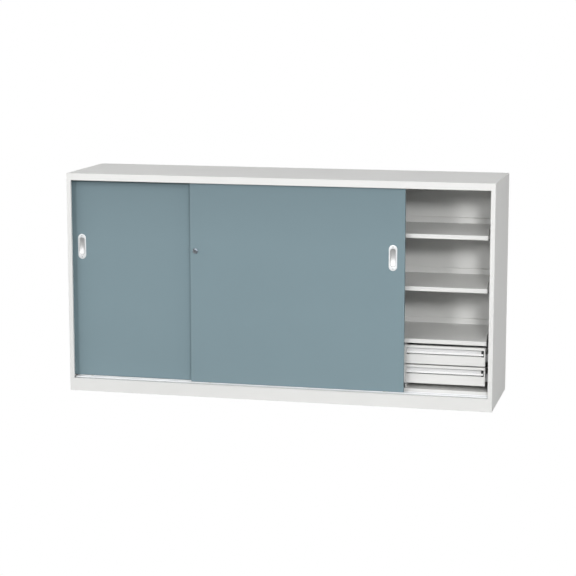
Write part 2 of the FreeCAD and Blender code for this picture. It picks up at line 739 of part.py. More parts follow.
def bottom_track():
    """A strip on the sill with two upright rails, one under each door, and undercut edges."""
    front_middle, rear_middle = track_middles()
    half = S.rail_thickness / 2
    low, strip = S.plinth_height, S.plinth_height + S.track_base
    front_edge = front_middle - half - S.track_margin
    rear_edge = rear_middle + half + S.track_margin
    undercut = low + S.track_edge_gap
    outline = [
        (front_edge, undercut), (front_edge + S.track_edge_depth, undercut),
        (front_edge + S.track_edge_depth, low), (rear_edge - S.track_edge_depth, low),
        (rear_edge - S.track_edge_depth, undercut), (rear_edge, undercut), (rear_edge, strip),
        (rear_middle + half, strip), (rear_middle + half, RAIL_TOP), (rear_middle - half, RAIL_TOP),
        (rear_middle - half, strip), (front_middle + half, strip), (front_middle + half, RAIL_TOP),
        (front_middle - half, RAIL_TOP), (front_middle - half, strip), (front_edge, strip),
    ]
    reach = STILE - S.fit_gap
    extruded("bottom_track", "YZ", outline, -reach, 2 * reach)


def top_guide():
    """Two channels that hang from the top panel and keep the doors' upper glides in line."""
    sheet_t = S.guide_sheet
    half = S.guide_channel / 2
    low = CEILING - S.guide_depth
    under = CEILING - sheet_t
    fins = []
    for middle in track_middles():
        fins += [middle - half - sheet_t, middle + half]
    outline = [(fins[0], CEILING)]
    for number, fin in enumerate(fins):
        if number:
            outline.append((fin, under))
        outline += [(fin, low), (fin + sheet_t, low)]
        if number < len(fins) - 1:
            outline.append((fin + sheet_t, under))
    outline.append((fins[-1] + sheet_t, CEILING))
    reach = STILE - S.fit_gap
    extruded("top_guide", "YZ", outline, -reach, 2 * reach)


def door_buffers():
    """A rubber buffer on each side panel in line with each door."""
    front_middle, rear_middle = track_middles()
    buffers = []
    for middle, side, end_gap in (
        (front_middle, -1, S.door_end_gap), (front_middle, 1, S.door_end_gap),
        (rear_middle, -1, S.left_door_end_gap), (rear_middle, 1, S.door_end_gap),
    ):
        length = end_gap - S.carcass_sheet - S.buffer_gap
        start, _ = mirrored(side, WALL - length, WALL)
        buffers.append(rod("X", (start, middle, S.buffer_height), length, S.buffer_radius))
    node(joined(buffers), "door_buffers")


def foot_spots():
    """Side and front or rear of each levelling foot, as signs."""
    return [(side, end) for side in (-1, 1) for end in (-1, 1)]


def levelling_feet():
    """Four threaded feet inside the base."""
    feet = []
    for side, end in foot_spots():
        x = side * (SIDE - S.foot_inset)
        y = end * (REAR - S.foot_inset_depth)
        feet.append(rod("Z", (x, y, 0), S.foot_pad, S.foot_radius))
        feet.append(rod("Z", (x, y, 0), S.foot_stem_length, S.foot_stem))
    node(joined(feet), "levelling_feet")


def foot_brackets():
    """Angles on the side panels that the levelling feet are screwed through."""
    brackets = []
    for side, end in foot_spots():
        x = side * (SIDE - S.foot_inset)
        y = end * (REAR - S.foot_inset_depth)
        y_span = centred(y, S.bracket_width)
        reach = mirrored(side, SIDE - 2 * S.foot_inset + S.carcass_sheet, WALL)
        leg = mirrored(side, WALL - S.bracket_sheet, WALL)
        shelf_plate = block(reach, y_span, (S.bracket_height, S.bracket_height + S.bracket_sheet))
        upright_leg = block(leg, y_span, (S.bracket_height, S.bracket_height + S.bracket_leg))
        hole_radius = S.foot_stem + S.cylinder_clearance
        hole = rod("Z", (x, y, S.bracket_height), S.bracket_sheet, hole_radius)
        brackets.append(without(joined([shelf_plate, upright_leg]), hole))
    node(joined(brackets), "foot_brackets")


# ---------------------------------------------------------------------------------------------
# Doors
# ---------------------------------------------------------------------------------------------

def door_panel(name, door, face, pull_x, lock_x=None):
    """A pan of sheet steel, folded round its back, with openings for its pull, rollers and lock."""
    left_edge, right_edge = door
    back = face + S.door_thickness
    sheet_t, lip = S.door_sheet, S.door_sheet + S.door_lip
    body = new_body(name)
    outside = new_sketch(body, "XZ", -back)
    draw_rectangle(outside, (left_edge, right_edge), (DOOR_BOTTOM, DOOR_TOP))
    solid = pad(body, outside, S.door_thickness)

    def face_corner(edge):
        middle = edge.CenterOfMass
        upright = near(middle.x, left_edge) or near(middle.x, right_edge)
        level = near(middle.z, DOOR_BOTTOM) or near(middle.z, DOOR_TOP)
        return near(middle.y, face) and (upright or level)

    round_edges(body, solid, S.fold_radius, face_corner)
    inside = new_sketch(body, "XZ", -(back - sheet_t))
    inside_z = (DOOR_BOTTOM + sheet_t, DOOR_TOP - sheet_t)
    draw_rectangle(inside, (left_edge + sheet_t, right_edge - sheet_t), inside_z)
    pocket(body, inside, S.door_thickness - 2 * sheet_t)
    mouth = new_sketch(body, "XZ", -back)
    draw_rectangle(mouth, (left_edge + lip, right_edge - lip), (DOOR_BOTTOM + lip, DOOR_TOP - lip))
    pocket(body, mouth, sheet_t)
    pull_hole = new_sketch(body, "XZ", -(face + sheet_t))
    cup_length, cup_width = S.recess_length + 2 * S.pull_wall, S.recess_width + 2 * S.pull_wall
    clearance = 2 * S.fit_gap
    draw_stadium(pull_hole, pull_x, S.pull_height, cup_length + clearance, cup_width + clearance)
    for end in (-1, 1):
        screw_z = S.pull_height + end * S.pull_screw_spacing / 2
        draw_circle(pull_hole, pull_x, screw_z, S.pull_screw_radius + S.cylinder_clearance)
    pocket(body, pull_hole, sheet_t)
    if lock_x is not None:
        lock_hole = new_sketch(body, "XZ", -(face + sheet_t))
        draw_circle(lock_hole, lock_x, S.lock_height, S.lock_barrel_radius + S.cylinder_clearance)
        pocket(body, lock_hole, sheet_t)
    wells = new_sketch(body, "XY", DOOR_BOTTOM)
    middle = face + S.door_thickness / 2
    well_y = centred(middle, S.roller_width + 2 * S.carrier_sheet)
    well_half = S.roller_radius + S.roller_flange + S.roller_well_gap
    for axle in roller_spots(door):
        draw_rectangle(wells, (axle - well_half, axle + well_half), well_y)
    pocket(body, wells, sheet_t)


def roller_spots(door):
    """X of the two roller axles of a door with the given span."""
    return door[0] + S.roller_inset, door[1] - S.roller_inset


def door_stiffeners(name, door, face):
    """Upright hat sections, evenly spaced behind a door's face."""
    ribs = []
    z_span = (DOOR_BOTTOM + S.door_sheet, DOOR_TOP - S.door_sheet)
    front = face + S.door_sheet
    sheet_t = S.door_sheet
    for number in range(STIFFENERS):
        middle = door[0] + (door[1] - door[0]) * (number + 1) / (STIFFENERS + 1)
        crown_x = centred(middle, S.stiffener_width)
        brim_x = centred(middle, S.stiffener_width + 2 * S.stiffener_brim)
        hat = block(crown_x, (front, front + S.stiffener_depth), z_span)
        hollow_x = (crown_x[0] + sheet_t, crown_x[1] - sheet_t)
        hollow = block(hollow_x, (front, front + S.stiffener_depth - sheet_t), z_span)
        brim = block(brim_x, (front, front + sheet_t), z_span)
        ribs.append(without(joined([hat, brim]), hollow))
    node(joined(ribs), name)


def door_pull(name, x, face):
    """A flush pull: a rim with round ends on the door's face, and a tapered cup behind it."""
    body = new_body(name)
    rim = new_sketch(body, "XZ", -face)
    draw_stadium(rim, x, S.pull_height, S.pull_length, S.pull_width)
    pad(body, rim, S.pull_rim)
    cup = new_sketch(body, "XZ", -face)
    cup_length, cup_width = S.recess_length + 2 * S.pull_wall, S.recess_width + 2 * S.pull_wall
    draw_stadium(cup, x, S.pull_height, cup_length, cup_width)
    pad(body, cup, S.recess_depth - S.pull_rim + S.pull_wall, backwards=True)
    recess = new_sketch(body, "XZ", -(face - S.pull_rim))
    draw_stadium(recess, x, S.pull_height, S.recess_length, S.recess_width)
    hollow = pocket(body, recess, S.recess_depth, along_normal=False, taper=-S.recess_taper)
    floor_y = face - S.pull_rim + S.recess_depth

    def recess_foot(edge):
        return near(edge.CenterOfMass.y, floor_y)

    rounded = round_edges(body, hollow, S.recess_floor_round, recess_foot)

    def rim_edge(edge):
        return near(edge.CenterOfMass.y, face - S.pull_rim)

    round_edges(body, rounded, S.pull_rim_round, rim_edge)
    screws = new_sketch(body, "XZ", -(face - S.pull_rim))
    for end in (-1, 1):
        screw_z = S.pull_height + end * S.pull_screw_spacing / 2
        draw_circle(screws, x, screw_z, S.pull_screw_head)
    pocket(body, screws, S.pull_rim, along_normal=False)


def pull_screws(name, x, face):
    """Two screws whose heads lie in the pull's rim."""
    screws = []
    for end in (-1, 1):
        z = S.pull_height + end * S.pull_screw_spacing / 2
        head_front = face - S.pull_rim
        head_radius = S.pull_screw_head - S.axle_clearance
        head = cone("Y", (x, head_front, z), S.pull_rim, head_radius, S.pull_screw_radius)
        shank = rod("Y", (x, head_front, z), S.pull_screw_length, S.pull_screw_radius)
        slot_depth = S.pull_rim / 2
        slot = block(
            centred(x, 2 * S.pull_screw_head), (head_front, head_front + slot_depth), centred(z, slot_depth)
        )
        screws.append(without(joined([head, shank]), slot))
    node(joined(screws), name)


def roller_carriers(name, door, face):
    """Forks inside a door's lower edge, each with its fixed axle."""
    sheet_t = S.carrier_sheet
    front = face + S.door_sheet
    rear = face + S.door_thickness - S.door_sheet
    low = DOOR_BOTTOM + S.door_sheet
    high = low + S.carrier_height
    forks = []
    for axle in roller_spots(door):
        x_span = centred(axle, S.carrier_width)
        forks += [
            block(x_span, (front, front + sheet_t), (low, high)),
            block(x_span, (rear - sheet_t, rear), (low, high)),
            block(x_span, (front, rear), (high - sheet_t, high)),
            rod("Y", (axle, front, ROLLER_AXIS), rear - front, S.axle_radius),
        ]
    node(joined(forks), name)


def door_roller(name, x, face):
    """A grooved roller on its axle, with its tread just over the rail."""
    body = new_body(name)
    middle = face + S.door_thickness / 2
    rim = S.roller_radius + S.roller_flange
    flange = (S.roller_width - S.roller_groove) / 2
    bore = S.axle_radius + S.axle_clearance
    half = S.roller_width / 2
    profile = new_sketch(body, "YZ", 0)
    outline = [
        (-half, bore), (half, bore), (half, rim), (half - flange, rim), (half - flange, S.roller_radius),
        (-half + flange, S.roller_radius), (-half + flange, rim), (-half, rim),
    ]
    draw_polygon(profile, outline)
    wheel = body.newObject("PartDesign::Revolution", "wheel")
    wheel.Profile = profile
    wheel.ReferenceAxis = (profile, ["H_Axis"])
    wheel.Angle = 360
    place(body, x, middle, ROLLER_AXIS)
    doc.recompute()


def top_glides(name, door, face):
    """Plastic glides on a door's upper edge, in the upper guide's channel."""
    middle = face + S.door_thickness / 2
    glides = []
    for x in roller_spots(door):
        x_span = centred(x, S.glide_length)
        foot = block(x_span, centred(middle, S.glide_foot), (DOOR_TOP, DOOR_TOP + S.glide_foot_rise))
        fin = block(x_span, centred(middle, S.glide_width), (DOOR_TOP, DOOR_TOP + S.glide_rise))
        glides += [foot, fin]
    node(joined(glides), name)


# ---------------------------------------------------------------------------------------------
# Lock on the right door, and its strike on the left one
# ---------------------------------------------------------------------------------------------

def lock_parts(x, face):
    """A push lock: housing, nut, push cylinder with its bolt, and the core that the key turns."""
    z = S.lock_height
    rim_front = face - S.lock_rim
    barrel_rear = face + S.lock_barrel_length
    bore = S.cylinder_radius + S.cylinder_clearance
    rim = cone("Y", (x, rim_front, z), S.lock_rim, S.lock_rim_radius - S.lock_rim / 2, S.lock_rim_radius)
    barrel = rod("Y", (x, face, z), S.lock_barrel_length, S.lock_barrel_radius)
    hollow = rod("Y", (x, rim_front, z), barrel_rear - rim_front, bore)
    node(without(joined([rim, barrel]), hollow), "lock_housing")

    nut = doc.addObject("Part::Prism", "nut")
    nut.Polygon = 6
    nut.Placement = Placement(Vector(), ALONG["Y"])
    bind(nut, Circumradius=S.lock_nut_radius, Height=S.lock_nut_width)
    nut_start = (x, face + S.door_sheet, z)
    place(nut, *nut_start)
    nut_hole = rod("Y", nut_start, S.lock_nut_width, S.lock_barrel_radius + S.axle_clearance)
    node(without(nut, nut_hole), "lock_nut")

    front = rim_front - S.lock_travel
    shoulder = barrel_rear - S.lock_travel
    plunger = rod("Y", (x, front, z), shoulder - front, S.cylinder_radius)
    bolt = rod("Y", (x, shoulder, z), S.lock_travel + S.bolt_reach, S.bolt_radius)
    socket = rod("Y", (x, front, z), S.core_length, S.core_radius + S.cylinder_clearance)
    node(without(joined([plunger, bolt]), socket), "lock_cylinder")

    core = rod("Y", (x, front, z), S.core_length, S.core_radius)
    keyway_x = centred(x, S.keyway_width)
    keyway = block(keyway_x, (front, front + S.keyway_depth), centred(z, S.keyway_height))
    node(without(core, keyway), "lock_core")


def lock_strike(x, face):
    """A block on the left door's face with a hole that takes the bolt."""
    x_span = centred(x, S.strike_width)
    plate = block(x_span, (face - S.strike_rise, face), centred(S.lock_height, S.strike_height))
    hole = rod("Y", (x, face - S.strike_rise, S.lock_height), S.strike_rise, S.strike_hole)
    node(without(plate, hole), "lock_strike")


# ---------------------------------------------------------------------------------------------
# Drawers
# ---------------------------------------------------------------------------------------------

def drawer_housing():
    """The wall on the drawers' left, up to the lowest shelf, with a front tab beside each drawer."""
    sheet_t = S.housing_sheet
    face = SLIDE_LEFT
    far = face - S.housing_width
    rear = BACK_WALL - S.fit_gap
    outline = [
        (face, INNER_FRONT), (face, rear), (far, rear), (far, rear - sheet_t),
        (face - sheet_t, rear - sheet_t), (face - sheet_t, INNER_FRONT + sheet_t),
        (far, INNER_FRONT + sheet_t), (far, INNER_FRONT),
    ]
    height = LOWEST_SHELF_UNDERSIDE - S.floor_height
    body = extruded("drawer_housing", "XY", outline, S.floor_height, height)
    notches = new_sketch(body, "XZ", -(INNER_FRONT + sheet_t))
    lower_head = S.drawer_bottom + S.drawer_front_height
    upper_foot = S.drawer_bottom + S.drawer_pitch
    upper_head = upper_foot + S.drawer_front_height
    for z_span in (
        (S.floor_height, S.drawer_bottom), (lower_head, upper_foot), (upper_head, LOWEST_SHELF_UNDERSIDE),
    ):
        draw_rectangle(notches, (far, face - sheet_t), z_span)
    pocket(body, notches, sheet_t)


def channel(x_span, y_span, z_span, web_side, sheet_t):
    """A C-shaped runner along Y: a web on one side and a lip along its top and bottom."""
    shell = block(x_span, y_span, z_span)
    if web_side < 0:
        hollow_x = (x_span[0] + sheet_t, x_span[1])
    else:
        hollow_x = (x_span[0], x_span[1] - sheet_t)
    hollow = block(hollow_x, y_span, (z_span[0] + sheet_t, z_span[1] - sheet_t))
    return without(shell, hollow)


def slide_members(axis_z):
    """Outer, middle and inner members of a drawer's two slides, one inside the other."""
    sheet_t, gap = S.slide_sheet, S.fit_gap
    y_span = (DRAWER_BOX_FRONT, DRAWER_BOX_FRONT + DRAWER_LENGTH)
    outer, middle, inner = [], [], []
    for back, towards in ((SLIDE_LEFT, 1), (SLIDE_RIGHT, -1)):
        half = S.slide_height / 2
        depth = S.slide_thickness - sheet_t - gap
        outer_x = ordered(towards, back, back + towards * depth)
        outer.append(channel(outer_x, y_span, (axis_z - half, axis_z + half), -towards, sheet_t))
        half = half - sheet_t - gap
        middle_x = ordered(towards, back + towards * (sheet_t + gap), back + towards * depth)
        middle.append(channel(middle_x, y_span, (axis_z - half, axis_z + half), -towards, sheet_t))
        half = half - sheet_t - gap
        start = back + towards * (2 * sheet_t + 2 * gap)
        inner_x = ordered(towards, start, back + towards * S.slide_thickness)
        inner.append(channel(inner_x, y_span, (axis_z - half, axis_z + half), towards, sheet_t))
    return outer, middle, inner


def slide_end(axis_z):
    """A plate on the right slide's inner member, in front of the slide and beside the drawer front."""
    sheet_t, gap = S.slide_sheet, S.fit_gap
    rear = DRAWER_BOX_FRONT - gap
    front = rear - sheet_t
    member_height = S.slide_height - 4 * (sheet_t + gap)
    web_x = (DRAWER_RIGHT, DRAWER_RIGHT + sheet_t)
    web = block(web_x, (front, DRAWER_BOX_FRONT), centred(axis_z, member_height))
    plate = block((DRAWER_RIGHT, SLIDE_RIGHT - gap), (front, rear), centred(axis_z, S.slide_height))
    return joined([web, plate])


def drawer_box(name, bottom):
    """An open tray between the slides, with a folded rim along its sides."""
    sheet_t = S.drawer_sheet
    x_span = (BOX_LEFT, DRAWER_RIGHT)
    y_span = (DRAWER_BOX_FRONT, DRAWER_BOX_FRONT + DRAWER_LENGTH)
    low = bottom + S.drawer_side_lift
    high = low + S.drawer_side_height
    rim = S.drawer_rim + sheet_t
    outline = [
        (x_span[0], low), (x_span[1], low), (x_span[1], high), (x_span[1] - rim, high),
        (x_span[1] - rim, high - sheet_t), (x_span[1] - sheet_t, high - sheet_t),
        (x_span[1] - sheet_t, low + sheet_t), (x_span[0] + sheet_t, low + sheet_t),
        (x_span[0] + sheet_t, high - sheet_t), (x_span[0] + rim, high - sheet_t), (x_span[0] + rim, high),
        (x_span[0], high),
    ]
    body = new_body(name)
    section = new_sketch(body, "XZ", -y_span[1])
    draw_polygon(section, outline)
    pad(body, section, DRAWER_LENGTH)
    for end in (y_span[0] + sheet_t, y_span[1]):
        wall = new_sketch(body, "XZ", -end)
        inner_x = (x_span[0] + sheet_t / 2, x_span[1] - sheet_t / 2)
        draw_rectangle(wall, inner_x, (low + sheet_t / 2, high - sheet_t))
        pad(body, wall, sheet_t)


def grip_levels(bottom):
    """Heights down the grip: its head, recess, nose, groove and foot."""
    head = bottom + S.drawer_front_height - S.grip_top
    recess = head - S.grip_slope
    nose = recess - S.grip_recess_height
    groove = nose - S.grip_nose
    return head, recess, nose, groove, groove - S.grip_groove


def drawer_front(name, bottom):
    """A pan with a window for the grip."""
    sheet_t = S.drawer_sheet
    body = new_body(name)
    x_span, z_span = (DRAWER_LEFT, DRAWER_RIGHT), (bottom, bottom + S.drawer_front_height)
    outside = new_sketch(body, "XZ", -DRAWER_BOX_FRONT)
    draw_rectangle(outside, x_span, z_span)
    solid = pad(body, outside, S.drawer_front_depth)

    def face_edge(edge):
        return near(edge.CenterOfMass.y, DRAWER_FRONT)

    round_edges(body, solid, S.fold_radius, face_edge)
    inside = new_sketch(body, "XZ", -DRAWER_BOX_FRONT)
    inner_x, inner_z = (x_span[0] + sheet_t, x_span[1] - sheet_t), (z_span[0] + sheet_t, z_span[1] - sheet_t)
    draw_rectangle(inside, inner_x, inner_z)
    pocket(body, inside, S.drawer_front_depth - sheet_t)
    head, _, _, _, foot = grip_levels(bottom)
    window = new_sketch(body, "XZ", -(DRAWER_FRONT + sheet_t))
    draw_rectangle(window, (x_span[0] + S.grip_start, x_span[1] - S.grip_margin), (foot, head))
    pocket(body, window, sheet_t)


def drawer_grip(name, bottom):
    """The grip's profile: a recess, a nose in front of its foot and a deeper groove below it."""
    head, recess, nose, groove, foot = grip_levels(bottom)
    wall = S.grip_wall
    face, deep, deepest = DRAWER_FRONT, DRAWER_FRONT + S.grip_depth, DRAWER_FRONT + S.groove_depth
    nose_front = DRAWER_FRONT - S.grip_reach
    outline = [
        (face, head), (deep, recess), (deep, groove + wall), (face + wall / 2, groove + wall),
        (face + wall / 2, nose), (nose_front, nose), (nose_front, groove), (deepest, groove),
        (deepest, foot), (deepest + wall, foot), (deepest + wall, groove + wall),
        (deep + wall, groove + wall), (deep + wall, head),
    ]
    start = DRAWER_LEFT + S.grip_start
    end = DRAWER_RIGHT - S.grip_margin - S.cap_length
    body = extruded(name, "YZ", outline, start, end - start)
    run_on = new_sketch(body, "YZ", end)
    draw_rectangle(run_on, (nose_front, face + wall / 2), (groove, nose))
    nose_end = pad(body, run_on, S.nose_over_cap)

    def nose_edge(edge):
        middle = edge.CenterOfMass
        return near(middle.y, nose_front) and (near(middle.z, nose) or near(middle.z, groove))

    round_edges(body, nose_end, S.nose_round, nose_edge)


def grip_cap(name, bottom):
    """The plug that closes the grip's right end, notched for the nose that runs on in front of it."""
    head, _, nose, groove, foot = grip_levels(bottom)
    right = DRAWER_RIGHT - S.grip_margin
    left = right - S.cap_length
    rear = DRAWER_FRONT + S.grip_depth + S.grip_wall
    front = DRAWER_FRONT + S.drawer_sheet / 2
    upper = block((left, right), (front, rear), (nose, head - S.grip_slope / 2))
    spine = block((left, right), (DRAWER_FRONT + S.grip_wall / 2, rear), (foot, nose))
    lower = block((left, right), (front, DRAWER_FRONT + S.groove_depth + S.grip_wall), (foot, groove))
    node(joined([upper, spine, lower]), name)


def drawer(number, bottom):
    """All the pieces of a drawer that travel with it, and the middle members of its slides."""
    drawer_box(f"drawer_{number}_box", bottom)
    drawer_front(f"drawer_{number}_front", bottom)
    drawer_grip(f"drawer_{number}_grip", bottom)
    grip_cap(f"drawer_{number}_grip_cap", bottom)
    outer, middle, inner = slide_members(bottom + S.slide_axis)
    node(joined(middle), f"drawer_{number}_slide_middles")
    node(joined(inner + [slide_end(bottom + S.slide_axis)]), f"drawer_{number}_slide_inners")
    return outer


# ---------------------------------------------------------------------------------------------
# Putting it together
# ---------------------------------------------------------------------------------------------

def build_carcass():
    for name, side in (("left", -1), ("right", 1)):
        side_panel(f"side_panel_{name}", side)
        rear_panel(f"rear_panel_{name}", side)
        for number, top in enumerate(shelf_tops(), start=1):
            shelf(f"shelf_{name}_{number}", side, top)
    top_panel()
    floor_panel()
    front_plinth()
    rear_plinth()
    centre_partition()
    slotted_uprights()
    shelf_clips()
    bottom_track()
    top_guide()
    door_buffers()
    levelling_feet()
    foot_brackets()


def build_door(name, door, face, pull_x, lock_x=None):
    door_panel(f"{name}_panel", door, face, pull_x, lock_x)
    door_stiffeners(f"{name}_stiffeners", door, face)
    door_pull(f"{name}_pull", pull_x, face)
    pull_screws(f"{name}_pull_screws", pull_x, face)
    roller_carriers(f"{name}_roller_carriers", door, face)
    top_glides(f"{name}_top_glides", door, face)
    for number, x in enumerate(roller_spots(door), start=1):
        door_roller(f"{name}_roller_{number}", x, face)


def build_doors():
    lock_x = RIGHT_DOOR[0] + S.lock_inset
    build_door("door_left", LEFT_DOOR, REAR_DOOR_FACE, LEFT_DOOR[0] + S.left_pull_inset)
    build_door("door_right", RIGHT_DOOR, FRONT_DOOR_FACE, RIGHT_DOOR[1] - S.right_pull_inset, lock_x)
    lock_parts(lock_x, FRONT_DOOR_FACE)
    lock_strike(lock_x + S.right_door_opening, REAR_DOOR_FACE)


def build_drawers():
    drawer_housing()
    outer = drawer(1, S.drawer_bottom + S.drawer_pitch)
    outer += drawer(2, S.drawer_bottom)
    node(joined(outer), "drawer_slide_outers")


def check_and_export():
    """Stop at anything that failed, and then write each sub-part to its own file."""
    doc.recompute()
    for thing in doc.Objects:
        if "Invalid" in thing.State or "Error" in thing.State:
            raise RuntimeError(f"{thing.Name} ({thing.Label}) did not compute")
    for part in NODES:
        if part.Shape.isNull() or not part.Shape.isValid() or not part.Shape.Solids:
            raise RuntimeError(f"{part.Label} has no valid shape")
    os.makedirs("parts", exist_ok=True)
    for part in NODES:
        part.Shape.exportStep(f"parts/{part.Label}.step")
        print(part.Label, len(part.Shape.Solids), round(part.Shape.Volume))


build_carcass()
build_doors()
build_drawers()
check_and_export()
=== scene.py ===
"""The looks of the sliding door cabinet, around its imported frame. Metres, +Z up, front towards -Y."""

import json
import math

import bmesh
import bpy
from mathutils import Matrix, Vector


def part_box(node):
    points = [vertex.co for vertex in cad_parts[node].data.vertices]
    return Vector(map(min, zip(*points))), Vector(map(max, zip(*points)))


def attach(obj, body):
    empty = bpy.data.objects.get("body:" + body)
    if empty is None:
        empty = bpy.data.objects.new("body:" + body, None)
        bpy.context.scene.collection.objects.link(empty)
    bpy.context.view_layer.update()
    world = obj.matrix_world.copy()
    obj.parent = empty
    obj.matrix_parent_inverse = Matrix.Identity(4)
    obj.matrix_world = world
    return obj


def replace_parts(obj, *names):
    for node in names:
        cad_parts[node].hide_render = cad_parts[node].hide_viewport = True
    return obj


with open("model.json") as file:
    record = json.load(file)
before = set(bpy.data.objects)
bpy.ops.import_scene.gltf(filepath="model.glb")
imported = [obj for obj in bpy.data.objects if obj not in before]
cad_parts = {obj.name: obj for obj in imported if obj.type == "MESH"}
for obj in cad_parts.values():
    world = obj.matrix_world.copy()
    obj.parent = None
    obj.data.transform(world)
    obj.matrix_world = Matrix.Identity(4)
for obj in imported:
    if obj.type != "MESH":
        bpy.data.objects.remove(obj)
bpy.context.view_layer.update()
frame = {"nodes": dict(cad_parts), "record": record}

MM = 0.001

# ---------------------------------------------------------------------------------------------
# Camera
# ---------------------------------------------------------------------------------------------

CAMERA_PLACE = (1.9715, -8.1603, 1.8575)
CAMERA_AZIMUTH = 13.583                     # degrees to the right of the cabinet's front
CAMERA_ELEVATION = 9.267                    # degrees above the horizon
LENS = 113.1                                # focal length in millimetres
SENSOR_WIDTH = 36.0                         # in millimetres
VIEW_DEPTH = 200.0                          # how far the camera sees


def add_camera():
    """The camera at the photograph's viewing angle."""
    camera = bpy.data.objects.new("camera", bpy.data.cameras.new("camera"))
    camera.data.lens = LENS
    camera.data.sensor_width = SENSOR_WIDTH
    camera.data.clip_end = VIEW_DEPTH
    camera.location = CAMERA_PLACE
    camera.rotation_euler = (math.radians(90 - CAMERA_ELEVATION), 0, math.radians(CAMERA_AZIMUTH))
    bpy.context.collection.objects.link(camera)
    bpy.context.scene.camera = camera


# ---------------------------------------------------------------------------------------------
# Studio: a floor and a surround that show as white, and soft lamps all round
# ---------------------------------------------------------------------------------------------

WHITE = (1, 1, 1, 1)
SURROUND = 0.01                             # radiance of the surround, as the object sees it
FLOOR_SIZE = 60.0
FLOOR_GREY = (0.25, 0.25, 0.25, 1)          # colour of the floor, as the object sees it
LAMP_TARGET = (0.75, -0.25, 0.55)
LAMPS = (
    # name, place, width, height, and the level on a white face turned to it
    ("key_left", (-4.02, -14.05, 3.99), 1.75, 1.5, 0.192),
    ("key_right", (2.84, -7.75, 3.04), 0.8, 0.85, 0.356),
    ("fill_left", (-4.4, -9.2, 6.5), 4.2, 3.4, 0.124),
    ("fill_right", (5.9, -9.2, 6.5), 4.2, 3.4, 0.158),
    ("fill_front", (0.8, -10.8, 6.2), 4.2, 2.5, 0.066),
    ("low_left", (-9.1, -10.1, 2.0), 7.5, 2.4, 0.044),
    ("high_left", (-7.3, -4.0, 8.6), 8.7, 6.4, 0.165),
    ("side_left", (-9.4, -6.1, 3.0), 6.4, 5.1, 0.088),
    ("side_right", (10.9, -6.1, 3.0), 6.4, 5.1, 0.15),
    ("end_left", (-10.1, 2.7, 4.7), 8.7, 6.4, 0.2),
    ("end_right", (12.2, 1.8, 1.8), 8.7, 3.6, 0.42),
    ("back", (-1.8, 9.2, 7.4), 8.7, 6.4, 0.29),
)


def plain_shader(tree, kind, colour=WHITE):
    """A shader of one colour."""
    shader = tree.nodes.new(kind)
    shader.inputs["Color"].default_value = colour
    return shader


def split_by_camera(tree, seen, unseen, output):
    """Lead one shader to the output for the camera, and another one for the object."""
    path = tree.nodes.new("ShaderNodeLightPath")
    mix = tree.nodes.new("ShaderNodeMixShader")
    factor, for_object, for_camera = mix.inputs
    tree.links.new(path.outputs["Is Camera Ray"], factor)
    tree.links.new(unseen.outputs[0], for_object)
    tree.links.new(seen.outputs[0], for_camera)
    tree.links.new(mix.outputs[0], tree.nodes.new(output).inputs["Surface"])


def light_surround():
    """An even surround that shows as plain white."""
    world = bpy.data.worlds.new("studio")
    world.use_nodes = True
    tree = world.node_tree
    tree.nodes.clear()
    seen = plain_shader(tree, "ShaderNodeBackground")
    unseen = plain_shader(tree, "ShaderNodeBackground")
    unseen.inputs["Strength"].default_value = SURROUND
    split_by_camera(tree, seen, unseen, "ShaderNodeOutputWorld")
    bpy.context.scene.world = world


def lay_floor():
    """The floor, which shows as white as the surround but throws little light back."""
    material = bpy.data.materials.new("studio_floor")
    material.use_nodes = True
    tree = material.node_tree
    tree.nodes.clear()
    seen = plain_shader(tree, "ShaderNodeEmission")
    unseen = plain_shader(tree, "ShaderNodeBsdfDiffuse", FLOOR_GREY)
    split_by_camera(tree, seen, unseen, "ShaderNodeOutputMaterial")

    half = FLOOR_SIZE / 2
    mesh = bpy.data.meshes.new("studio_floor")
    corners = [(-half, -half, 0), (half, -half, 0), (half, half, 0), (-half, half, 0)]
    mesh.from_pydata(corners, [], [(0, 1, 2, 3)])
    mesh.materials.append(material)
    floor = bpy.data.objects.new("studio_floor", mesh)
    bpy.context.collection.objects.link(floor)


def add_lamp(name, place, width, height, level):
    """A soft rectangular lamp turned to the cabinet, which the camera doesn't see.

    Its power brings a white face at the target to the level, wherever the lamp stands.
    """
    away = Vector(place) - Vector(LAMP_TARGET)
    light = bpy.data.lights.new(name, "AREA")
    light.shape = "RECTANGLE"
    light.size = width
    light.size_y = height
    light.energy = level * (math.pi * away.length) ** 2
    lamp = bpy.data.objects.new(name, light)
    lamp.location = place
    lamp.rotation_euler = (-away).to_track_quat("-Z", "Y").to_euler()
    lamp.visible_camera = False
    bpy.context.collection.objects.link(lamp)


# ---------------------------------------------------------------------------------------------
# Materials, one for each slot of the record
# ---------------------------------------------------------------------------------------------

TEXTURE_LOW, TEXTURE_HIGH = 0.3, 0.7        # the range that a texture mostly keeps to
MIX_FACTOR, MIX_FROM, MIX_TO = 0, 6, 7      # a Mix node's inputs when it mixes colours
MIX_RESULT = 2                              # and its output
LINES_ALONG_X = (1, 60, 60)                 # stretch of a texture that makes lines
LINES_ALONG_Z = (60, 60, 1)
# the depth below drives the painted shade in a pull's dish
HOLLOW = "hollow"                           # how deep in a pull's dish a point lies, from 0 to 1

# Levels of painted shade by place in a node's own box: how far along the box, from 0 to 1, and the level
# there
# painted shade on the doors, darker towards their tops, where the top rail shades them
SHADE_UNDER_RAIL = ((0.35, 0.0), (0.70, 0.20), (1.0, 0.80))
# painted shade on the flat strip at the foot of a track, darker than the rails above it
SHADE_ON_TRACK_STRIP = ((0.20, 1.0), (0.30, 0.0))
# painted shade in a drawer grip, darker further back from its nose, most under its head and in its groove
SHADE_BEHIND_NOSE = ((0.10, 0.0), (0.90, 1.0))
SHADE_UP_GRIP = ((0.17, 0.80), (0.20, 0.34), (0.84, 0.34), (0.90, 1.0))
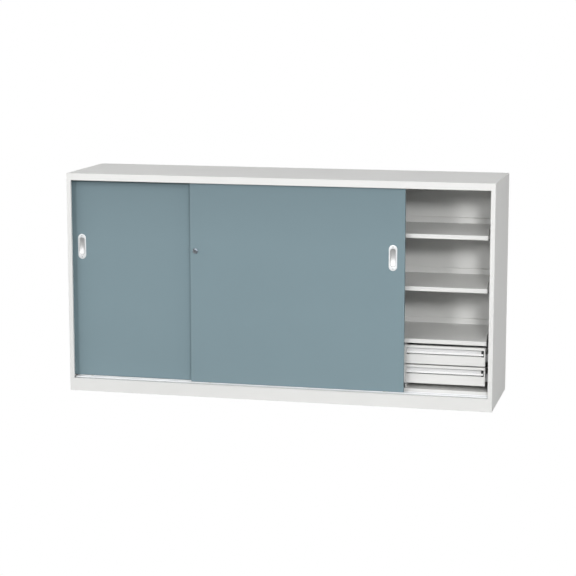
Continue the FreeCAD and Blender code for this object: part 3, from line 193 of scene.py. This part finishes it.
# how dark a coat's painted shade gets
PAINTED_SHADE_SHARE = 0.8                           # a coat's colour at level 1, as a share of itself


def shade(colour, share):
    """A colour made lighter or darker."""
    return tuple(channel * share for channel in colour)


class Finish:
    """A material on one Principled shader, with short calls for its textures.

    Sockets that keep one value are given by their own names, with _ for each space.
    """

    def __init__(self, name, colour, roughness, **sockets):
        self.material = bpy.data.materials.new(name)
        self.material.use_nodes = True
        self.tree = self.material.node_tree
        self.shader = self.tree.nodes["Principled BSDF"]
        self.colour = colour
        self.roughness = roughness
        for socket, value in sockets.items():
            self.shader.inputs[socket.replace("_", " ")].default_value = value

    def node(self, kind, **properties):
        """A new node of the material."""
        made = self.tree.nodes.new(kind)
        for name, value in properties.items():
            setattr(made, name, value)
        return made

    def join(self, output, socket):
        """A link from one node's output to another's input."""
        self.tree.links.new(output, socket)

    def space(self, stretch=(1, 1, 1)):
        """Object space, which is the cabinet's own frame, with each axis stretched."""
        mapping = self.node("ShaderNodeMapping")
        mapping.inputs["Scale"].default_value = stretch
        self.join(self.node("ShaderNodeTexCoord").outputs["Object"], mapping.inputs["Vector"])
        return mapping.outputs["Vector"]

    def noise(self, per_metre, detail=2, stretch=(1, 1, 1)):
        """Noise with the given number of blotches in a metre, from 0 to 1."""
        texture = self.node("ShaderNodeTexNoise")
        texture.inputs["Scale"].default_value = per_metre
        texture.inputs["Detail"].default_value = detail
        self.join(self.space(stretch), texture.inputs["Vector"])
        return texture.outputs["Fac"]

    def cells(self, per_metre):
        """A grey of its own for each cell of an irregular pattern."""
        texture = self.node("ShaderNodeTexVoronoi")
        texture.inputs["Scale"].default_value = per_metre
        self.join(self.space(), texture.inputs["Vector"])
        split = self.node("ShaderNodeSeparateColor")
        self.join(texture.outputs["Color"], split.inputs["Color"])
        return split.outputs["Red"]

    def ramp(self, factor, steps):
        """A colour that runs through pairs of a factor and a colour."""
        ramp = self.node("ShaderNodeValToRGB")
        elements = ramp.color_ramp.elements
        elements[0].position, elements[1].position = steps[0][0], steps[-1][0]
        for position, _ in steps[1:-1]:
            elements.new(position)
        for element, (_, colour) in zip(elements, steps):
            element.color = (*colour, 1)
        self.join(factor, ramp.inputs["Fac"])
        return ramp.outputs["Color"]

    def along_box(self, axis, steps):
        """The level that pairs of a place and a level give along an axis of a node's own box."""
        split = self.node("ShaderNodeSeparateXYZ")
        self.join(self.node("ShaderNodeTexCoord").outputs["Generated"], split.inputs["Vector"])
        return self.ramp(split.outputs[axis], [(place, (level, level, level)) for place, level in steps])

    def tint(self, factor, darkest, lightest):
        """The base colour, from a darker shade of the finish's colour to a lighter one."""
        ends = ((TEXTURE_LOW, shade(self.colour, darkest)), (TEXTURE_HIGH, shade(self.colour, lightest)))
        self.join(self.ramp(factor, ends), self.shader.inputs["Base Color"])

    def blend(self, factor, colour):
        """Turn the base colour into another one as the factor goes from 0 to 1."""
        base = self.shader.inputs["Base Color"]
        mix = self.node("ShaderNodeMix", data_type="RGBA")
        mix.inputs[MIX_TO].default_value = (*colour, 1)
        self.join(factor, mix.inputs[MIX_FACTOR])
        self.join(base.links[0].from_socket, mix.inputs[MIX_FROM])
        self.join(mix.outputs[MIX_RESULT], base)

    def rough(self, factor, less, more):
        """The roughness, from less than the finish's own to more."""
        span = self.node("ShaderNodeMapRange")
        span.inputs["From Min"].default_value = TEXTURE_LOW
        span.inputs["From Max"].default_value = TEXTURE_HIGH
        span.inputs["To Min"].default_value = self.roughness - less
        span.inputs["To Max"].default_value = self.roughness + more
        self.join(factor, span.inputs["Value"])
        self.join(span.outputs["Result"], self.shader.inputs["Roughness"])

    def relief(self, *layers):
        """Bumps, each a texture with its height."""
        below = None
        for factor, height in layers:
            bump = self.node("ShaderNodeBump")
            bump.inputs["Distance"].default_value = height
            self.join(factor, bump.inputs["Height"])
            if below:
                self.join(below, bump.inputs["Normal"])
            below = bump.outputs["Normal"]
        self.join(below, self.shader.inputs["Normal"])


def powder_coat(name, colour, roughness, specular=0.5, shade_levels=()):
    """Baked powder paint: an orange peel of 2 mm, fine grain, and faint clouds in the colour.

    Painted shade can darken the colour in a part of the node's own box, given as levels from its foot up.
    """
    finish = Finish(name, colour, roughness, Specular_IOR_Level=specular)
    finish.tint(finish.noise(per_metre=2.5, detail=3), darkest=0.985, lightest=1.015)
    finish.rough(finish.noise(per_metre=9, detail=3), less=0.03, more=0.03)
    orange_peel = finish.noise(per_metre=480, detail=1)
    grain = finish.noise(per_metre=1900)
    finish.relief((orange_peel, 0.012 * MM), (grain, 0.004 * MM))
    if shade_levels:
        finish.blend(finish.along_box("Z", shade_levels), shade(colour, PAINTED_SHADE_SHARE))
    return finish


def lined_metal(name, colour, roughness, metallic, lightest, stretch):
    """Metal with fine parallel lines."""
    finish = Finish(name, colour, roughness, Metallic=metallic)
    lines = finish.noise(per_metre=14, detail=4, stretch=stretch)
    finish.tint(lines, darkest=0.96, lightest=lightest)
    finish.rough(lines, less=0.05, more=0.05)
    finish.relief((lines, 0.01 * MM))
    return finish


def track_profile(name, colour, roughness, shade_colour):
    """Bright aluminium, drawn lengthwise, with painted shade that darkens its flat strip but not the
    rails above it.
    """
    finish = lined_metal(name, colour, roughness, metallic=0.35, lightest=1.02, stretch=LINES_ALONG_X)
    finish.blend(finish.along_box("Z", SHADE_ON_TRACK_STRIP), shade_colour)
    return finish


def satin_pull(name, colour, roughness, hollow_shade):
    """Satin plating, with upright lines on the rim, and painted shade that darkens it towards the bottom
    of the dish.
    """
    finish = lined_metal(name, colour, roughness, metallic=0.68, lightest=1.03, stretch=LINES_ALONG_Z)
    finish.blend(finish.node("ShaderNodeAttribute", attribute_name=HOLLOW).outputs["Fac"], hollow_shade)
    return finish


def zinc_plate(name, colour, roughness):
    """Zinc plated sheet: a faint patchwork of grains under a dull sheen."""
    finish = Finish(name, colour, roughness, Metallic=1.0)
    finish.tint(finish.cells(per_metre=170), darkest=0.88, lightest=1.08)
    finish.rough(finish.noise(per_metre=35, detail=3), less=0.06, more=0.08)
    finish.relief((finish.noise(per_metre=700), 0.006 * MM))
    return finish


def polished(name, colour, roughness):
    """Plated metal with the faint waves and hazing of a polished casting."""
    finish = Finish(name, colour, roughness, Metallic=1.0)
    finish.tint(finish.noise(per_metre=60), darkest=0.95, lightest=1.03)
    finish.rough(finish.noise(per_metre=240, detail=3), less=0.03, more=0.04)
    finish.relief((finish.noise(per_metre=220, detail=1), 0.008 * MM))
    return finish


def moulded(name, colour, roughness, grain, spread=0.07):
    """Moulded plastic or rubber with a fine eroded grain."""
    finish = Finish(name, colour, roughness, Specular_IOR_Level=0.45)
    finish.tint(finish.noise(per_metre=45), darkest=1 - spread, lightest=1 + spread)
    finish.rough(finish.noise(per_metre=260), less=0.04, more=0.05)
    finish.relief((finish.noise(per_metre=1500), grain))
    return finish


def grip_profile(name, colour, roughness, shade_colour):
    """White moulded profile with painted shade that darkens it further back from its nose, most under its
    head and in the groove.
    """
    finish = moulded(name, colour, roughness, grain=0.002 * MM, spread=0.015)
    painted_shade = finish.node("ShaderNodeMath", operation="MULTIPLY")
    finish.join(finish.along_box("Y", SHADE_BEHIND_NOSE), painted_shade.inputs[0])
    finish.join(finish.along_box("Z", SHADE_UP_GRIP), painted_shade.inputs[1])
    finish.blend(painted_shade.outputs["Value"], shade_colour)
    return finish


def make_materials():
    """A material for every slot of the record."""
    slots = {
        # slot: its kind of finish, with the colour, the roughness and what else that kind takes
        "carcass_paint": (powder_coat, (0.80, 0.80, 0.785), 0.42),
        # the doors' coat has painted shade towards its top, under the top rail
        "door_paint": (powder_coat, (0.218, 0.301, 0.334), 0.6, 0.15, SHADE_UNDER_RAIL),
        # the track's strip has painted shade, darker than its rails
        "track_metal": (track_profile, (0.93, 0.94, 0.95), 0.5, (0.58, 0.59, 0.60)),
        "zinc_steel": (zinc_plate, (0.55, 0.56, 0.57), 0.36),
        # the pull's metal has painted shade, darker towards the bottom of its dish
        "pull_metal": (satin_pull, (0.95, 0.96, 0.97), 0.46, (0.68, 0.68, 0.68)),
        "screw_steel": (polished, (0.24, 0.25, 0.26), 0.38),
        "lock_chrome": (polished, (0.38, 0.42, 0.46), 0.28),
        "lock_brass": (polished, (0.29, 0.32, 0.34), 0.28),
        # the grip's material has painted shade in its recess, its groove and under its head
        "grip_white": (grip_profile, (0.95, 0.95, 0.95), 0.30, (0.08, 0.08, 0.08)),
        "black_plastic": (moulded, (0.012, 0.012, 0.013), 0.45, 0.006 * MM),
        "black_rubber": (moulded, (0.018, 0.018, 0.018), 0.75, 0.01 * MM),
        "roller_plastic": (moulded, (0.68, 0.67, 0.63), 0.40, 0.004 * MM),
    }
    return {slot: finish(slot, *values).material for slot, (finish, *values) in slots.items()}


MATERIALS = make_materials()


def dress_nodes():
    """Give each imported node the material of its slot."""
    for part in frame["record"]["subparts"]:
        for slot in frame["nodes"][part["node"]].material_slots:
            slot.material = MATERIALS[part["material_slot"]]


# ---------------------------------------------------------------------------------------------
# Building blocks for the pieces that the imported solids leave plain
# ---------------------------------------------------------------------------------------------

MERGE = 0.02 * MM                           # points of a skin that lie closer than this are one


def node_box(node):
    """Lowest corner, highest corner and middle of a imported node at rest."""
    low, high = (Vector(corner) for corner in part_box(node))
    return low, high, (low + high) / 2


def new_piece(name, mesh, body, slot):
    """A piece that rides on a body and takes its finish from a slot."""
    for polygon in mesh.polygons:
        polygon.use_smooth = True
    mesh.materials.append(MATERIALS[slot])
    piece = bpy.data.objects.new(name, mesh)
    bpy.context.collection.objects.link(piece)
    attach(piece, body)
    return piece


def skin(name, rings):
    """A mesh over closed rings of equally many points, each ring joined to the next."""
    shape = bmesh.new()
    loops = [[shape.verts.new(point) for point in ring] for ring in rings]
    for outer, inner in zip(loops, loops[1:]):
        for step, corner in enumerate(outer):
            following = (step + 1) % len(outer)
            shape.faces.new((corner, outer[following], inner[following], inner[step]))
    bmesh.ops.remove_doubles(shape, verts=shape.verts, dist=MERGE)
    mesh = bpy.data.meshes.new(name)
    shape.to_mesh(mesh)
    shape.free()
    return mesh


def quarter(steps):
    """Cosine and sine over a quarter turn, with both its ends."""
    for step in range(steps + 1):
        angle = math.pi / 2 * step / steps
        yield math.cos(angle), math.sin(angle)


def circle(steps):
    """Cosine and sine round a whole turn."""
    for step in range(steps):
        angle = 2 * math.pi * step / steps
        yield math.cos(angle), math.sin(angle)


# ---------------------------------------------------------------------------------------------
# Flush pulls: a rim with round ends, and a dish with steep walls and a hollowed floor
# ---------------------------------------------------------------------------------------------

RECESS_LENGTH = 84 * MM
RECESS_WIDTH = 27 * MM
RECESS_DEPTH = 11 * MM                      # below the rim's face, at the middle of the dish
RECESS_END_DEPTH = 3.5 * MM                 # the same, at its two ends
WALL_POWER = 3.4                            # 2 makes the dish's section an ellipse, more a box
PULL_WALL = 1 * MM
RIM_HEIGHT = 1.4 * MM
RIM_ROUND = 0.8 * MM
RIM_CROWN = 0.15 * MM
ARC_STEPS = 28                              # points round one end of the pull
SIDE_STEPS = 20                             # points down one side
EDGE_STEPS = 5                              # rings over each rounded edge of the rim
FACE_STEPS = 6                              # rings across the rim's face
DISH_STEPS = 22                             # rings down the dish


def slot_ring(straight, radius):
    """Across and up of points round a slot with round ends, half of it straight sides."""
    for end in (1, -1):
        for step in range(ARC_STEPS):
            angle = math.pi * step / ARC_STEPS
            yield end * radius * math.cos(angle), end * (straight + radius * math.sin(angle))
        for step in range(SIDE_STEPS):
            yield -end * radius, end * straight * (1 - 2 * step / SIDE_STEPS)


def dish_depth(up):
    """Depth of the dish along its middle: a shallow arc."""
    part = up / (RECESS_LENGTH / 2)
    return RECESS_DEPTH - (RECESS_DEPTH - RECESS_END_DEPTH) * part * part


def pull_rings(middle, face, length, width):
    """The pull's skin from the foot of its rim, over the rim and down into the dish."""
    outer, inner = width / 2, RECESS_WIDTH / 2
    outer_straight, inner_straight = length / 2 - outer, RECESS_LENGTH / 2 - inner

    def ring(straight, radius, depth, fall=0):
        """Points at a depth, plus a share of what the dish has below the rim's rounding."""
        return [
            (middle.x + across, face + depth + fall * (dish_depth(up) - RIM_ROUND), middle.z + up)
            for across, up in slot_ring(straight, radius)
        ]

    yield ring(outer_straight, outer, RIM_HEIGHT)
    for cosine, sine in quarter(EDGE_STEPS):
        yield ring(outer_straight, outer - RIM_ROUND * (1 - cosine), RIM_ROUND * (1 - sine))
    for step in range(1, FACE_STEPS):
        part = step / FACE_STEPS
        straight = outer_straight + (inner_straight - outer_straight) * part
        radius = outer - RIM_ROUND + (inner - outer + 2 * RIM_ROUND) * part
        yield ring(straight, radius, -RIM_CROWN * math.sin(math.pi * part))
    for cosine, sine in quarter(EDGE_STEPS):
        yield ring(inner_straight, inner + RIM_ROUND * (1 - sine), RIM_ROUND * (1 - cosine))
    for cosine, sine in list(quarter(DISH_STEPS))[1:]:
        radius, fall = inner * cosine ** (2 / WALL_POWER), sine ** (2 / WALL_POWER)
        yield ring(inner_straight, radius, RIM_ROUND, fall)


def flush_pull(door):
    """The pull of one door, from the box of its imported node."""
    low, high, middle = node_box(f"{door}_pull")
    rings = pull_rings(middle, low.y, high.z - low.z, high.x - low.x)
    mesh = skin(f"{door}_dished_pull", rings)
    # how deep each point lies, which the pull's material turns into painted shade
    hollow = mesh.attributes.new(HOLLOW, "FLOAT", "POINT")
    for vertex, mark in zip(mesh.vertices, hollow.data):
        mark.value = max(0, min(1, (vertex.co.y - low.y - RIM_HEIGHT) / (RECESS_END_DEPTH - RIM_HEIGHT)))
    pull = new_piece(f"{door}_dished_pull", mesh, door, "pull_metal")
    shell = pull.modifiers.new("wall", "SOLIDIFY")
    shell.thickness = PULL_WALL
    shell.offset = -1
    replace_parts(pull, f"{door}_pull")


# ---------------------------------------------------------------------------------------------
# Pull screws: raised countersunk heads with a cross recess
# ---------------------------------------------------------------------------------------------

SCREW_SPACING = 100 * MM
SCREW_RADIUS = 3.1 * MM
SCREW_RISE = 0.5 * MM                       # crown of a raised head
SCREW_SPOKES = 96                           # points round a head
SCREW_RINGS = 30                            # rings from its edge to its middle
CROSS_REACH = 1.9 * MM                      # from a screw's middle to the end of an arm of its cross
CROSS_WIDTH = 0.55 * MM                     # half the width of an arm
CROSS_DEPTH = 1.3 * MM
CROSS_STEEPNESS = 3                         # half an arm's width over the width of its sloping wall
CROSS_TAPER = 0.5                           # power by which an arm's floor rises to its end


def cross_depth(across, up):
    """Depth of the cross recess at a point of a screw's head."""
    reach = max(abs(across), abs(up))
    off_arm = min(abs(across), abs(up))
    if reach > CROSS_REACH:
        return 0
    wall = min(1, CROSS_STEEPNESS * max(0, 1 - off_arm / CROSS_WIDTH))
    return CROSS_DEPTH * wall * (1 - reach / CROSS_REACH) ** CROSS_TAPER


def screw_rings(middle, face):
    """A raised countersunk head, from its edge to its middle."""
    for step in range(SCREW_RINGS + 1):
        radius = SCREW_RADIUS * (1 - step / SCREW_RINGS)
        crown = SCREW_RISE * (1 - (radius / SCREW_RADIUS) ** 2)
        ring = []
        for cosine, sine in circle(SCREW_SPOKES):
            across, up = radius * cosine, radius * sine
            ring.append((middle.x + across, face - crown + cross_depth(across, up), middle.z + up))
        yield ring


def pull_screws(door):
    """The two screws of a door's pull, in one piece."""
    low, _, middle = node_box(f"{door}_pull_screws")
    heads = bmesh.new()
    for end in (-1, 1):
        place = middle + Vector((0, 0, end * SCREW_SPACING / 2))
        heads.from_mesh(skin("screw_head", screw_rings(place, low.y)))
    mesh = bpy.data.meshes.new(f"{door}_cross_screws")
    heads.to_mesh(mesh)
    heads.free()
    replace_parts(new_piece(f"{door}_cross_screws", mesh, door, "screw_steel"), f"{door}_pull_screws")


# ---------------------------------------------------------------------------------------------
# Shelf hems: the top edge of each shelf's rear upstand is rolled to the front
# ---------------------------------------------------------------------------------------------

HEM_RADIUS = 1.7 * MM
HEM_STEPS = 16                              # points round a hem


def shelf_hem(shelf):
    """The hem of one shelf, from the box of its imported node."""
    low, high, _ = node_box(shelf)
    middle_y, middle_z = high.y - HEM_RADIUS, high.z - HEM_RADIUS

    def ring(across, radius):
        """Points round the hem, at a place along it."""
        return [
            (across, middle_y + radius * cosine, middle_z + radius * sine)
            for cosine, sine in circle(HEM_STEPS)
        ]

    rings = [ring(low.x, 0), ring(low.x, HEM_RADIUS), ring(high.x, HEM_RADIUS), ring(high.x, 0)]
    new_piece(f"{shelf}_hem", skin(f"{shelf}_hem", rings), "carcass", "carcass_paint")


# ---------------------------------------------------------------------------------------------
# The scene
# ---------------------------------------------------------------------------------------------

bpy.context.scene.view_settings.view_transform = "Standard"
add_camera()
light_surround()
lay_floor()
for lamp in LAMPS:
    add_lamp(*lamp)
dress_nodes()
for door in ("door_left", "door_right"):
    flush_pull(door)
    pull_screws(door)
for bay in ("left", "right"):
    for level in (1, 2, 3):
        shelf_hem(f"shelf_{bay}_{level}")
